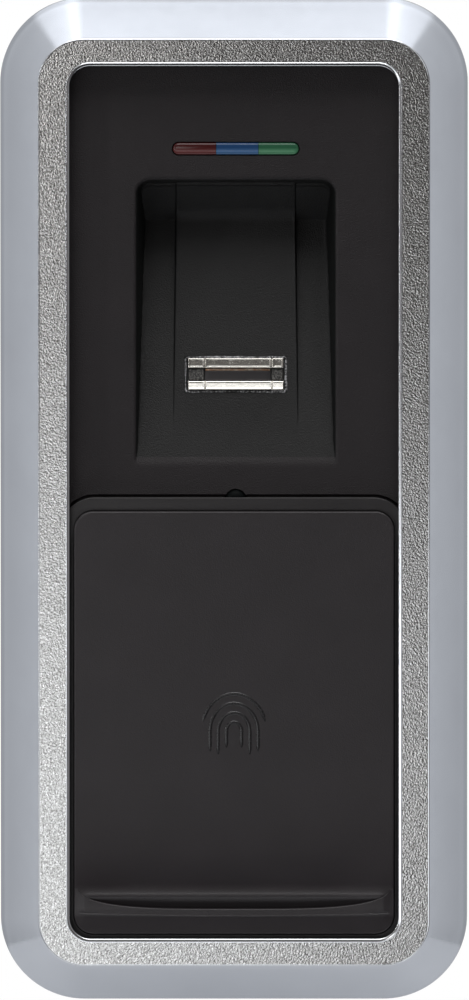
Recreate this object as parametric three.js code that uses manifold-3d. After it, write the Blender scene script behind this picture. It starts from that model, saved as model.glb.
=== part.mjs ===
// A wall-mounted fingerprint scanner terminal, in millimetres.
// The pieces are drawn lying on their back: x to the right, y up the wall and z out of the
// wall. The whole group then stands up, so that +Z is up, the wall is at Y = 0 and the front
// faces -Y.
import * as THREE from "three";
import { mergeVertices } from "three/addons/utils/BufferGeometryUtils.js";
import Module from "manifold-3d";

// ---- Driving dimensions ----

// The bezel: a skirt, a wide bevel, and a flat face around the opening.
const WIDTH = 68;
const HEIGHT = 146;
const CORNER = 12.2;
const FACE_Z = 34;
const BEVEL_INSET = 5.6;
const BEVEL_DEPTH = 8;
const SKIRT_BACK_Z = 20.8;
const OPENING = { width: 47.7, height: 126.9, corner: 3 };
const LIP_BACK_Z = 32.25;

// The pocket under the bezel's lip that the slide runs in, and the panel's seat behind it.
const TRACK = { width: 51.2, height: 130.8, corner: 4.4 };
const PANEL_FACE_Z = 30.6;
const PANEL_BACK_Z = 28.6;
const SEAT_CLEARANCE = 0.2;

// The housing behind the bezel and the plate that hangs it on the wall.
const HOUSING = { width: 66, height: 144, corner: 11.2, back: 2.3, floor: 4.3, front: 20 };
const HOUSING_WALL = 2;
const PLATE_THICKNESS = 2;

// The slide: a carrier in the track and a cover plate in the opening.
const CARRIER = { width: 50.4, top: 0.68, bottom: -65, corner: 5, back: 30.9, front: 31.95 };
const COVER = { width: 46.5, top: -1.26, bottom: -62.8, corner: 2.8, back: 32.05, front: 33.6 };

// The groove, the light bar and the detent sit this far to the right of the bezel's middle.
const PANEL_X = 0.25;

// The finger groove: a long floor that rises towards the slide, and a steeper upper ramp.
const GROOVE = { width: 29.2, top: 47, bottom: 5.5, foldY: 40.6, foldDepth: 9.34, corner: 2.3 };
const GROOVE_RAMP_TOP = { y: 45.9, depth: 3.4 };
const GROOVE_RAMP_SLOPE =
  (GROOVE.foldDepth - GROOVE_RAMP_TOP.depth) / (GROOVE_RAMP_TOP.y - GROOVE.foldY);
const GROOVE_DRAFT = { inset: 1.6, depth: 12 };
const TONGUE = { width: 17.6, bottom: 10.6, depth: 1.36, slope: 0.215, proud: 0.4, bend: 1.6 };

// The swipe sensor, set in the tongue and tilted with it.
const SENSOR_Y = 18.36;
const SENSOR = { width: 14.9, height: 5.34 };

// The light bar above the groove: where its three segments begin and end.
const LIGHT_Y = 51.36;
const LIGHT_HEIGHT = 1.83;
const LIGHT_EDGES = [-9.2, -2.85, 3.3, 9.2];

// The spring detent that holds the slide at both ends of its way.
const DETENT_Y = 0.3;

// The battery chamber: four AAA cells side by side.
const CELL = { radius: 5.25, length: 44.5, pitch: 11.2, z: 9.6 };
const CHAMBER = { width: 46.4, bottom: -57.2, top: -6.8, roof: 15.2 };

const PCB = { width: 46, bottom: -64, top: 64, back: 16.8, front: 18.2 };

const CASE_SCREWS = [[-28, 60], [28, 60], [28, -60], [-28, -60]];
const PCB_SCREWS = [[-18, 61], [18, 61], [18, -61], [-18, -61]];

// ---- Finishes ----

const CHROME = { color: 0xcdd1d8, roughness: 0.25, metalness: 1 };
const BLACK_PLASTIC = { color: 0x2a2729, roughness: 0.6, metalness: 0 };
const SLIDE_PLASTIC = { color: 0x332f31, roughness: 0.55, metalness: 0 };
const CASE_PLASTIC = { color: 0x1f1f21, roughness: 0.7, metalness: 0 };
const RUBBER = { color: 0x151515, roughness: 0.9, metalness: 0 };
const STEEL = { color: 0xb9bbbd, roughness: 0.35, metalness: 1 };
const NICKEL = { color: 0xd9d3c4, roughness: 0.3, metalness: 1 };
const COPPER = { color: 0xb87a4b, roughness: 0.4, metalness: 1 };
const POTTING = { color: 0x3c3b3a, roughness: 0.8, metalness: 0 };
const SILICON = { color: 0x1c1b1e, roughness: 0.25, metalness: 0 };
const BOARD = { color: 0x1d5a35, roughness: 0.6, metalness: 0 };
const CHIP = { color: 0x1a1a1a, roughness: 0.6, metalness: 0 };
const FLEX = { color: 0xa9682c, roughness: 0.5, metalness: 0 };
const JACKET = { color: 0x7d8288, roughness: 0.4, metalness: 1 };
const LED_WHITE = { color: 0xe8e4da, roughness: 0.5, metalness: 0 };
const LIGHTS = {
  red: { color: 0x5a2320, roughness: 0.2, metalness: 0 },
  blue: { color: 0x24406a, roughness: 0.2, metalness: 0 },
  green: { color: 0x2a5c3f, roughness: 0.2, metalness: 0 },
};

// ---- Shapes ----

/** A rectangle with round corners, centred on x = 0 and running from bottom to top. */
function roundedRect(width, bottom, top, corner) {
  const x = width / 2 - corner;
  const low = bottom + corner;
  const high = top - corner;
  const shape = new THREE.Shape();
  shape.absarc(x, low, corner, -Math.PI / 2, 0, false);
  shape.absarc(x, high, corner, 0, Math.PI / 2, false);
  shape.absarc(-x, high, corner, Math.PI / 2, Math.PI, false);
  shape.absarc(-x, low, corner, Math.PI, Math.PI * 1.5, false);
  return shape;
}

/** The same, centred on the origin. */
function centredRect({ width, height, corner }, grow = 0) {
  const half = height / 2 + grow;
  return roundedRect(width + 2 * grow, -half, half, corner + grow);
}

/** A flat shape made solid from z0 to z1. */
function slab(shape, z0, z1, curveSegments = 6) {
  const options = { depth: z1 - z0, bevelEnabled: false, curveSegments };
  return new THREE.ExtrudeGeometry(shape, options).translate(0, 0, z0);
}

/** A shape that widens by `inset` on every side from z0 to z1 and keeps that size to z2. */
function flared(shape, inset, z0, z1, z2, curveSegments = 6) {
  const options = {
    depth: z2 - z1,
    bevelThickness: z1 - z0,
    bevelSize: inset,
    bevelSegments: 1,
    curveSegments,
  };
  return new THREE.ExtrudeGeometry(shape, options).translate(0, 0, z1);
}

function block(x0, x1, y0, y1, z0, z1) {
  const box = new THREE.BoxGeometry(x1 - x0, y1 - y0, z1 - z0);
  return box.translate((x0 + x1) / 2, (y0 + y1) / 2, (z0 + z1) / 2);
}

/** A round rod along z. */
function rod(radius, [x, y], z0, z1, sides = 16) {
  const cylinder = new THREE.CylinderGeometry(radius, radius, z1 - z0, sides);
  return cylinder.rotateX(Math.PI / 2).translate(x, y, (z0 + z1) / 2);
}

/** A round rod along y. */
function uprightRod(radius, x, z, y0, y1, sides = 16) {
  return new THREE.CylinderGeometry(radius, radius, y1 - y0, sides).translate(x, (y0 + y1) / 2, z);
}

/** A turned piece along z from [radius, z] points that start and end on the axis. */
function turned(points, x, y, sides = 16) {
  const profile = points.map(([radius, z]) => new THREE.Vector2(radius, z));
  return new THREE.LatheGeometry(profile, sides).rotateX(Math.PI / 2).translate(x, y, 0);
}

const X_OUT_OF_PROFILE = new THREE.Matrix4().makeBasis(
  new THREE.Vector3(0, 1, 0),
  new THREE.Vector3(0, 0, 1),
  new THREE.Vector3(1, 0, 0),
);

/** A side profile of [y, z] points made solid from x0 to x1. */
function sideProfile(points, x0, x1) {
  const shape = new THREE.Shape(points.map(([y, z]) => new THREE.Vector2(y, z)));
  const options = { depth: x1 - x0, bevelEnabled: false };
  const geometry = new THREE.ExtrudeGeometry(shape, options).translate(0, 0, x0);
  return geometry.applyMatrix4(X_OUT_OF_PROFILE);
}

// ---- Joining and cutting ----

const wasm = await Module();
wasm.setup();

function toSolid(geometry) {
  const bare = geometry.clone();
  bare.deleteAttribute("normal");
  bare.deleteAttribute("uv");
  const merged = mergeVertices(bare, 1e-4);
  return new wasm.Manifold(
    new wasm.Mesh({
      numProp: 3,
      vertProperties: new Float32Array(merged.attributes.position.array),
      triVerts: new Uint32Array(merged.index.array),
    }),
  );
}

function toGeometry(body) {
  const mesh = body.getMesh();
  const geometry = new THREE.BufferGeometry();
  geometry.setAttribute("position", new THREE.BufferAttribute(mesh.vertProperties, 3));
  geometry.setIndex(new THREE.BufferAttribute(mesh.triVerts, 1));
  geometry.computeVertexNormals();
  return geometry;
}

/** `base` with the `join` geometries added and then the `cut` ones taken away. */
function shaped(base, { join = [], cut = [] }) {
  let body = toSolid(base);
  for (const geometry of join) body = body.add(toSolid(geometry));
  for (const geometry of cut) body = body.subtract(toSolid(geometry));
  return toGeometry(body);
}

/** What the two geometries have in common. */
function common(first, second) {
  return toGeometry(toSolid(first).intersect(toSolid(second)));
}

// ---- The scene graph ----

const product = new THREE.Group();
product.rotation.x = Math.PI / 2;

function piece(name, finish, geometry, parent = product) {
  const mesh = new THREE.Mesh(geometry, new THREE.MeshStandardMaterial(finish));
  mesh.name = name;
  parent.add(mesh);
}

// ---- Wall plate, housing and bezel ----

function addWallPlate() {
  const hookProfile = [[62, 1.5], [64, 1.5], [64, 4.8], [66.5, 4.8], [66.5, 6.6], [62, 6.6]];
  const fixingLug = block(-5, 5, -68.5, -65.5, 1.5, 12);
  const wallSlot = (y) => slab(roundedRect(4.5, y - 4, y + 4, 2.2), -1, 3);
  const geometry = shaped(slab(roundedRect(60, -69, 68, 8), 0, PLATE_THICKNESS), {
    join: [sideProfile(hookProfile, -10, -4), sideProfile(hookProfile, 4, 10), fixingLug],
    cut: [wallSlot(46), wallSlot(-46), uprightRod(1.4, 0, 8, -69.5, -65, 12)],
  });
  piece("wall_plate", CASE_PLASTIC, geometry);
}

/** The housing's posts, pillars and battery box, which its hollow leaves standing. */
function housingInnerParts() {
  const boxWall = 1.2;
  const boxHalf = CHAMBER.width / 2 + boxWall;
  const box = block(
    -boxHalf, boxHalf, CHAMBER.bottom - boxWall, CHAMBER.top + boxWall, 3, CHAMBER.roof + boxWall,
  );
  const posts = CASE_SCREWS.map((place) => rod(3.9, place, 3, 21));
  const pillars = PCB_SCREWS.map((place) => rod(2.2, place, 3, PCB.back - 0.1, 12));
  const doorBoss = rod(3, [0, -60.3], 3, 11, 12);
  return [box, ...posts, ...pillars, doorBoss];
}

function addHousing() {
  const { back, floor, front } = HOUSING;
  const hollow = shaped(slab(centredRect(HOUSING, -HOUSING_WALL), floor, front + 1), {
    cut: housingInnerParts(),
  });
  const chamber = slab(
    roundedRect(CHAMBER.width, CHAMBER.bottom, CHAMBER.top, 1.7), back - 1, CHAMBER.roof, 3,
  );
  const hookSlot = (x) => block(x - 3.4, x + 3.4, 61.6, 64.4, back - 1, floor + 1);
  const geometry = shaped(slab(centredRect(HOUSING), back, front), {
    cut: [
      hollow,
      chamber,
      hookSlot(-7),
      hookSlot(7),
      block(-5.4, 5.4, -68.9, -65.1, back - 1, floor + 1),
      block(-4.3, 4.3, -63.6, CHAMBER.bottom + 1, back - 1, floor),
      rod(1.2, [0, -60.3], floor - 1, 10, 12),
      uprightRod(1.4, 0, 8, -73, -69, 12),
      uprightRod(2.9, 0, 8, -73, -70.8),
      ...CASE_SCREWS.map((place) => rod(1.3, place, back - 1, front + 2, 12)),
      ...CASE_SCREWS.map((place) => rod(2.9, place, back - 1, 5.2)),
      ...PCB_SCREWS.map((place) => rod(1, place, 8, PCB.back + 1, 10)),
    ],
  });
  piece("rear_housing", CASE_PLASTIC, geometry);
}

function addGasket() {
  const ring = shaped(slab(centredRect(HOUSING, -0.3), 20.1, 20.7), {
    cut: [slab(centredRect(HOUSING, -1.7), 19, 22)],
  });
  piece("housing_gasket", RUBBER, ring);
}

function addBezel() {
  const face = {
    width: WIDTH - 2 * BEVEL_INSET,
    height: HEIGHT - 2 * BEVEL_INSET,
    corner: CORNER - BEVEL_INSET,
  };
  const bevelBackZ = FACE_Z - BEVEL_DEPTH;
  const uncutBackZ = SKIRT_BACK_Z - 4;
  // The flare is the same at both ends, so it is turned over and its back end cut off.
  const body = flared(
    centredRect(face), BEVEL_INSET, uncutBackZ - BEVEL_DEPTH, uncutBackZ, bevelBackZ, 8,
  );
  const hollowTop = PANEL_BACK_Z - 0.3;
  const hollow = shaped(slab(centredRect(HOUSING, -HOUSING_WALL), 0, hollowTop), {
    cut: CASE_SCREWS.map((place) => rod(3.4, place, SKIRT_BACK_Z - 1, FACE_Z, 12)),
  });
  const seat = { width: 53.4, height: 132.6, corner: 4.8 };
  const geometry = shaped(body, {
    cut: [
      block(-WIDTH, WIDTH, -HEIGHT, HEIGHT, 0, SKIRT_BACK_Z),
      slab(centredRect(OPENING), hollowTop - 0.1, FACE_Z + 1, 4),
      slab(centredRect(TRACK), hollowTop - 0.1, LIP_BACK_Z, 4),
      slab(centredRect(seat), hollowTop - 0.1, CARRIER.back, 4),
      hollow,
      ...CASE_SCREWS.map((place) => rod(1.3, place, 20, 26.8, 12)),
    ],
  });
  piece("bezel_frame", CHROME, geometry);
}

// ---- Front panel with the finger groove ----

/** How high the tongue's surface is at height y. */
function tongueZ(y) {
  return PANEL_FACE_Z - TONGUE.depth - TONGUE.slope * (y - TONGUE.bottom);
}

/** How high the groove's floor is at height y, below its fold. */
function floorZ(y) {
  const share = (y - GROOVE.bottom) / (GROOVE.foldY - GROOVE.bottom);
  return PANEL_FACE_Z - GROOVE.foldDepth * share;
}

/** How high the groove's upper ramp is at height y, above its fold. */
function rampZ(y) {
  return PANEL_FACE_Z - GROOVE.foldDepth + GROOVE_RAMP_SLOPE * (y - GROOVE.foldY);
}

function grooveHollow() {
  const { top, bottom, foldY, corner, width } = GROOVE;
  const { inset, depth } = GROOVE_DRAFT;
  const run = foldY - bottom;
  const rise = 0.2 * (GROOVE.foldDepth / run);
  const profile = [
    [bottom - 0.2, PANEL_FACE_Z + rise],
    [foldY, floorZ(foldY)],
    [GROOVE_RAMP_TOP.y, PANEL_FACE_Z - GROOVE_RAMP_TOP.depth],
    [top, PANEL_FACE_Z],
    [top + 1, PANEL_FACE_Z + 2],
    [bottom - 0.2, PANEL_FACE_Z + 2],
  ];
  const outline = roundedRect(width - 2 * inset, bottom - 10, top - inset, corner - inset);
  const funnel = flared(
    outline, inset, PANEL_FACE_Z - depth, PANEL_FACE_Z, PANEL_FACE_Z + 3, 3,
  );
  return common(sideProfile(profile, -width, width), funnel).translate(PANEL_X, 0, 0);
}

/** The raised tongue: it rises with the floor, bends, and stands proud of the ramp above. */
function tongue() {
  const start = TONGUE.bottom - 1;
  const buried = 0.6;
  const proudZ = (y) => rampZ(y) + TONGUE.proud;
  const gap = tongueZ(GROOVE.foldY) - proudZ(GROOVE.foldY);
  const bendY = GROOVE.foldY + gap / (TONGUE.slope + GROOVE_RAMP_SLOPE);
  const bend = new THREE.QuadraticBezierCurve(
    new THREE.Vector2(bendY - TONGUE.bend, tongueZ(bendY - TONGUE.bend)),
    new THREE.Vector2(bendY, tongueZ(bendY)),
    new THREE.Vector2(bendY + TONGUE.bend, proudZ(bendY + TONGUE.bend)),
  );
  const end = GROOVE_RAMP_TOP.y + 0.25;
  const profile = [
    [start, floorZ(start) - buried],
    [TONGUE.bottom, tongueZ(TONGUE.bottom)],
    ...bend.getPoints(5).map((point) => [point.x, point.y]),
    [end, proudZ(end)],
    [end + 0.15, rampZ(end) - buried],
    [GROOVE.foldY + 0.2, floorZ(GROOVE.foldY) - buried],
  ];
  return sideProfile(profile, PANEL_X - TONGUE.width / 2, PANEL_X + TONGUE.width / 2);
}

const SENSOR_TILT = Math.atan(TONGUE.slope);
const sensorFrame = new THREE.Group();
sensorFrame.position.set(PANEL_X, SENSOR_Y, tongueZ(SENSOR_Y));
sensorFrame.rotation.x = -SENSOR_TILT;
sensorFrame.updateMatrix();
product.add(sensorFrame);

/** A round-ended bar at the light bar's place, as large as it is and by `grow` larger. */
function lightBar(grow, z0, z1) {
  const half = LIGHT_HEIGHT / 2 + grow;
  const width = 2 * (LIGHT_EDGES[3] + grow);
  return slab(roundedRect(width, LIGHT_Y - half, LIGHT_Y + half, half), z0, z1, 4)
    .translate(PANEL_X, 0, 0);
}

function addFrontPanel() {
  const flange = {
    width: 53.4 - 2 * SEAT_CLEARANCE,
    height: 132.6 - 2 * SEAT_CLEARANCE,
    corner: 4.6,
  };
  const shell = [[2.5, 30], [40.4, 19.3], [42.8, 19.3], [47.8, 25.8], [49, 30]];
  const sensorHole = block(
    -SENSOR.width / 2, SENSOR.width / 2, -SENSOR.height / 2, SENSOR.height / 2, -6, 3,
  ).applyMatrix4(sensorFrame.matrix);
  const withGroove = shaped(slab(centredRect(flange), PANEL_BACK_Z, PANEL_FACE_Z, 4), {
    join: [sideProfile(shell, -16.3, 16.3), rod(3.1, [PANEL_X, DETENT_Y], 22.4, 29)],
    cut: [grooveHollow()],
  });
  const geometry = shaped(withGroove, {
    join: [tongue()],
    cut: [
      sensorHole,
      lightBar(0.1, 28, 31),
      rod(1.6, [PANEL_X, DETENT_Y], 28, 31),
      rod(1.9, [PANEL_X, DETENT_Y], 22, 29.4),
    ],
  });
  piece("front_panel", BLACK_PLASTIC, geometry);
}

// ---- Light bar ----

function addLightBar() {
  const bar = lightBar(0, 20.6, PANEL_FACE_Z + 0.15);
  const gap = 0.05;
  Object.keys(LIGHTS).forEach((colour, index) => {
    const [left, right] = [PANEL_X + LIGHT_EDGES[index], PANEL_X + LIGHT_EDGES[index + 1]];
    const segment = block(left + gap, right - gap, LIGHT_Y - 2, LIGHT_Y + 2, 20, 32);
    piece("light_lens_" + colour, LIGHTS[colour], common(bar, segment));
    const middle = (left + right) / 2;
    const led = block(middle - 1.75, middle + 1.75, LIGHT_Y - 1.4, LIGHT_Y + 1.4, PCB.front + 0.05, 20.1);
    piece("led_" + colour, LED_WHITE, led);
  });
}

// ---- Swipe sensor ----

/** A bar with its front edges taken off, in the sensor's own tilted frame. */
function contactBar(y0, y1) {
  const profile = [
    [y0, -0.45], [y1, -0.45], [y1, 0.1], [y1 - 0.25, 0.35], [y0 + 0.25, 0.35], [y0, 0.1],
  ];
  return sideProfile(profile, -6.95, 6.95);
}

function addSensor() {
  const add = (name, finish, geometry) => piece(name, finish, geometry, sensorFrame);
  add("sensor_body", CHIP, block(-7.1, 7.1, -2.6, 2.6, -3, -0.5));
  add("sensor_bar_top", NICKEL, contactBar(0.94, 2.36));
  add("sensor_bar_bottom", NICKEL, contactBar(-2.3, -0.98));
  add("sensor_contact_line", COPPER, block(-4.4, 5, 0.62, 0.85, -0.45, -0.15));
  add("sensor_strip", SILICON, block(-4.5, 5.1, -0.85, 0.55, -0.45, -0.2));
  add("sensor_end_left", POTTING, block(-6.9, -4.6, -0.85, 0.85, -0.45, 0));
  add("sensor_end_right", POTTING, block(5.2, 6.9, -0.85, 0.85, -0.45, 0));
}

function addSensorCable() {
  const halfThickness = 0.12;
  const path = new THREE.CubicBezierCurve(
    new THREE.Vector2(18.2, 24.2),
    new THREE.Vector2(17.6, 21.2),
    new THREE.Vector2(16, 19.6),
    new THREE.Vector2(11.2, 19.1),
  );
  const offset = (share, side) => {
    const point = path.getPoint(share);
    const along = path.getTangent(share);
    return [point.x - side * halfThickness * along.y, point.y + side * halfThickness * along.x];
  };
  const shares = [0, 0.2, 0.4, 0.6, 0.8, 1];
  const outline = [
    ...shares.map((share) => offset(share, 1)),
    ...shares.toReversed().map((share) => offset(share, -1)),
  ];
  piece("sensor_flex_cable", FLEX, sideProfile(outline, PANEL_X - 4, PANEL_X + 4));
  const connector = block(PANEL_X - 5.5, PANEL_X + 5.5, 6.2, 11, PCB.front + 0.05, 19.9);
  piece("flex_connector", CHIP, connector);
}

// ---- Circuit board ----

function addBoard() {
  const board = shaped(
    slab(roundedRect(PCB.width, PCB.bottom, PCB.top, 2), PCB.back, PCB.front, 3),
    { cut: PCB_SCREWS.map((place) => rod(1.4, place, PCB.back - 1, PCB.front + 1, 12)) },
  );
  piece("pcb_main", BOARD, board);
  const top = PCB.front + 0.05;
  piece("mcu_chip", CHIP, block(-5, 5, -20, -10, top, top + 1.2));
  piece("radio_module", STEEL, block(-9, 9, -46, -30, top, top + 2.4));
  const buzzer = [[0, top], [6, top], [6, top + 5], [1.2, top + 5], [1.2, top + 3], [0, top + 3]];
  piece("buzzer", CHIP, turned(buzzer, 13, -17, 20));
  PCB_SCREWS.forEach((place, index) => {
    const head = PCB.front + 0.1;
    const screw = [[0, 10], [0.8, 10.6], [0.8, head], [1.9, head], [1.9, head + 1], [0, head + 1.2]];
    piece("pcb_screw_" + (index + 1), STEEL, turned(screw, ...place, 10));
  });
}

// ---- Batteries ----

/** A coil that narrows towards the cell, along y. */
class ConeCoil extends THREE.Curve {
  constructor(x, z, y0, y1, turns) {
    super();
    Object.assign(this, { x, z, y0, y1, turns });
  }
  getPoint(share) {
    const radius = 3.6 - 1.1 * share;
    const angle = 2 * Math.PI * this.turns * share;
    const y = this.y0 + (this.y1 - this.y0) * share;
    return new THREE.Vector3(this.x + radius * Math.cos(angle), y, this.z + radius * Math.sin(angle));
  }
}

/** A wire of the given radius along a curve. */
function wire(curve, radius, steps) {
  const section = new THREE.Shape();
  section.absarc(0, 0, radius, 0, 2 * Math.PI, false);
  const options = { steps, curveSegments: 3, extrudePath: curve };
  return new THREE.ExtrudeGeometry(section, options);
}

/** An AAA cell along y, with its positive end at the top, standing at the origin. */
function cellGeometry() {
  const { radius, length } = CELL;
  const points = [
    [0, 0], [radius - 0.4, 0], [radius, 0.4], [radius, length - 1.6], [radius - 0.4, length - 1.2],
    [1.9, length - 1.2], [1.9, length], [0, length],
  ].map(([r, y]) => new THREE.Vector2(r, y));
  return new THREE.LatheGeometry(points, 16);
}

function addBatteries() {
  const middleY = (CHAMBER.bottom + CHAMBER.top) / 2;
  for (let index = 0; index < 4; index += 1) {
    const x = (index - 1.5) * CELL.pitch;
    // Neighbouring cells point opposite ways, as cells in series do.
    const up = index % 2 === 0 ? 1 : -1;
    const at = (distance) => middleY + up * distance;
    const number = index + 1;
    const cell = cellGeometry();
    if (up < 0) cell.rotateX(Math.PI);
    piece("battery_" + number, JACKET, cell.translate(x, at(-20.8), CELL.z));
    const coil = new ConeCoil(x, CELL.z, at(-24.7), at(-21.3), 3.5);
    piece("battery_spring_" + number, STEEL, wire(coil, 0.32, 44));
    const [low, high] = [at(24), at(24.5)].sort((a, b) => a - b);
    const contact = block(x - 4.2, x + 4.2, low, high, CELL.z - 4.6, CELL.z + 4.6);
    piece("battery_contact_" + number, NICKEL, contact);
  }
}

function addBatteryDoor() {
  const [back, front] = [2.5, 4];
  const middle = (CHAMBER.bottom + CHAMBER.top) / 2;
  const half = (CHAMBER.top - CHAMBER.bottom) / 2 - 0.2;
  const door = slab(
    roundedRect(CHAMBER.width - 0.4, middle - half, middle + half, 1.5), back, front, 3,
  );
  const geometry = shaped(door, {
    join: [block(-4, 4, -63.3, CHAMBER.bottom + 2, back, front)],
    cut: [rod(1.2, [0, -60.3], 1, 6, 12), rod(2.5, [0, -60.3], 1, 3.3)],
  });
  piece("battery_door", CASE_PLASTIC, geometry);
  const screw = [[0, 2.6], [2.2, 2.6], [2.2, 3.2], [0.9, 3.2], [0.9, 9.2], [0, 9.6]];
  piece("battery_door_screw", STEEL, turned(screw, 0, -60.3, 12));
}

// ---- Screws of the case ----

function addCaseScrews() {
  const profile = [[0, 3], [2.5, 3], [2.5, 4.9], [1, 4.9], [1, 25.6], [0, 26.2]];
  CASE_SCREWS.forEach((place, index) => {
    piece("case_screw_" + (index + 1), STEEL, turned(profile, ...place, 12));
  });
  const fixing = [[0, 0], [2.6, 0], [2.6, 1], [1.1, 1], [1.1, 5.6], [0, 6.2]];
  const profilePoints = fixing.map(([radius, y]) => new THREE.Vector2(radius, y));
  const geometry = new THREE.LatheGeometry(profilePoints, 12).translate(0, -71.9, 8);
  piece("fixing_screw", STEEL, geometry);
}

// ---- Slide ----

function addSlide() {
  const grooveForDetent = block(
    PANEL_X - 1.8, PANEL_X + 1.8, CARRIER.bottom - 1, CARRIER.top + 1, 30, 31.4,
  );
  const carrier = shaped(
    slab(
      roundedRect(CARRIER.width, CARRIER.bottom, CARRIER.top, CARRIER.corner),
      CARRIER.back, CARRIER.front, 4,
    ),
    { cut: [grooveForDetent] },
  );
  piece("slide_carrier", SLIDE_PLASTIC, carrier);
  piece("slide_cover", SLIDE_PLASTIC, coverGeometry());
}

/** The cover plate: a crescent pocket for the fingertip over a slightly raised lip. */
function coverGeometry() {
  const [pocketTop, pocketEnd, pocketDeep] = [-57.2, -57.5, -59.15];
  const pocketHalf = 22.2;
  const crescent = new THREE.Shape();
  crescent.moveTo(-pocketHalf, pocketTop);
  crescent.lineTo(-pocketHalf, pocketEnd);
  crescent.quadraticCurveTo(0, 2 * pocketDeep - pocketEnd, pocketHalf, pocketEnd);
  crescent.lineTo(pocketHalf, pocketTop);
  const lipZ = FACE_Z - 0.05;
  const lip = [
    [pocketTop, COVER.front - 0.5], [pocketTop, COVER.front], [pocketTop - 1.5, lipZ],
    [-60.2, lipZ], [-62.2, COVER.front], [-62.2, COVER.front - 0.5],
  ];
  const plate = slab(
    roundedRect(COVER.width, COVER.bottom, COVER.top, COVER.corner), COVER.back, COVER.front, 4,
  );
  return shaped(plate, {
    join: [sideProfile(lip, -22.6, 22.6)],
    cut: [slab(crescent, 32.5, FACE_Z + 1, 8)],
  });
}

// ---- Detent ----

/** A straight coil along z. */
class StraightCoil extends THREE.Curve {
  getPoint(share) {
    const angle = 2 * Math.PI * 4 * share;
    return new THREE.Vector3(
      PANEL_X + Math.cos(angle) * 1.2, DETENT_Y + Math.sin(angle) * 1.2, 24.5 + 3.1 * share,
    );
  }
}

function addDetent() {
  const plunger = [
    [0, 27.9], [1.75, 27.9], [1.75, 29.3], [1.45, 29.3], [1.45, 30.5], [1.1, 31], [0.5, 31.2], [0, 31.2],
  ];
  piece("detent_plunger", CASE_PLASTIC, turned(plunger, PANEL_X, DETENT_Y, 20));
  piece("detent_spring", STEEL, wire(new StraightCoil(), 0.18, 40));
  piece("detent_cap", CASE_PLASTIC, rod(1.8, [PANEL_X, DETENT_Y], 22.8, 24.1));
}

addWallPlate();
addHousing();
addGasket();
addBezel();
addFrontPanel();
addLightBar();
addSensor();
addSensorCable();
addBoard();
addBatteries();
addBatteryDoor();
addCaseScrews();
addSlide();
addDetent();

export default product;
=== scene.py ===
# Looks of the fingerprint scanner terminal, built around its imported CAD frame.
# Sizes are in millimetres, measured as x to the right, up the wall and out of the wall.
# at() turns them into metres in the frame: +Z up, the wall at Y = 0, the front facing -Y.
import math
import random

import bmesh
import bpy
import numpy as np
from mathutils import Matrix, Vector


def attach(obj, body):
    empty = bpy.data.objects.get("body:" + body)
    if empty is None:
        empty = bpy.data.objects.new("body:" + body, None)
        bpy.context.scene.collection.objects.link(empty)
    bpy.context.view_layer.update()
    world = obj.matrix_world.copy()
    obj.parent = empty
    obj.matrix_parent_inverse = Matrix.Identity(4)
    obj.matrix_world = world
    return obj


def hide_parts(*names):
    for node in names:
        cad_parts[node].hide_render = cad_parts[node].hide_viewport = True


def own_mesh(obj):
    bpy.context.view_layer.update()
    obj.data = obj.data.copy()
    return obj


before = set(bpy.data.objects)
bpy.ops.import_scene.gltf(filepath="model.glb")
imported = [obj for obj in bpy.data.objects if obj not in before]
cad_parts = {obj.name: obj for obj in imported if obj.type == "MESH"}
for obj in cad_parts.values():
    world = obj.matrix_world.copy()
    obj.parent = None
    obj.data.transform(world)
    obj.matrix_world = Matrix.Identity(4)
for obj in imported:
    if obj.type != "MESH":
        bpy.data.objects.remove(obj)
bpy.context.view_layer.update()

MM = 0.001
SHARP_ANGLE, RELIEF_SHARP_ANGLE = math.radians(38), math.radians(60)

# ---- Sizes that the pieces share, as in the CAD frame ----

BEZEL, BEZEL_BACK, BEZEL_FACE = (34, 73, 12.2), 20.8, 34
BEVEL_INSET, BEVEL_DEPTH = 5.6, 8
OPENING = (23.85, 63.45, 3.0)
TRACK = (25.6, 65.4, 4.4)
SEAT = (26.7, 66.3, 4.8)
CAVITY = (31, 70, 9.2)
LIP_BACK, CARRIER_BACK, CARRIER_FRONT = 32.25, 30.9, 31.95
PANEL_FACE, PANEL_BACK = 30.6, 28.6
COVER_BACK, COVER_FACE = 32.05, 33.6
CARRIER_HALF, CARRIER_LOW, CARRIER_HIGH, CARRIER_CORNER = CARRIER = (25.2, -65, 0.68, 5)

PANEL_X = 0.25
GROOVE_HALF, GROOVE_CORNER = 14.6, 2.3
GROOVE_TOP, GROOVE_BOTTOM, SIDE_DRAFT, TOP_DRAFT = 47.05, 5.5, 8.5, 4.8
FOLD_UP, FOLD_DEPTH, RAMP_SLOPE = 40.6, 9.34, 1.13
FLOOR_SLOPE = FOLD_DEPTH / (FOLD_UP - GROOVE_BOTTOM)
EDGE_ROLL = 0.7
TONGUE_LOW, TONGUE_DEPTH, TONGUE_SLOPE, TONGUE_PROUD = 10.6, 1.36, 0.215, 0.4

SENSOR_UP = 18.36
LIGHT_UP, LIGHT_HALF_HEIGHT = 51.36, 0.915
LIGHT_EDGES = (-9.2, -2.85, 3.3, 9.2)
DETENT_UP, DETENT_BORE, DETENT_COUNTERBORE, COUNTERBORE_FRONT = 0.3, 1.6, 1.9, 29.4


def at(x, up, out):
    """A point of the object in metres, in the CAD frame."""
    return (x * MM, -out * MM, up * MM)


# ---- Mesh building ----


def add_object(name, data):
    made = bpy.data.objects.new(name, data)
    bpy.context.scene.collection.objects.link(made)
    return made


def mark_sharp(bm, angle):
    for edge in bm.edges:
        if len(edge.link_faces) == 2 and edge.calc_face_angle(0) > angle:
            edge.smooth = False


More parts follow.
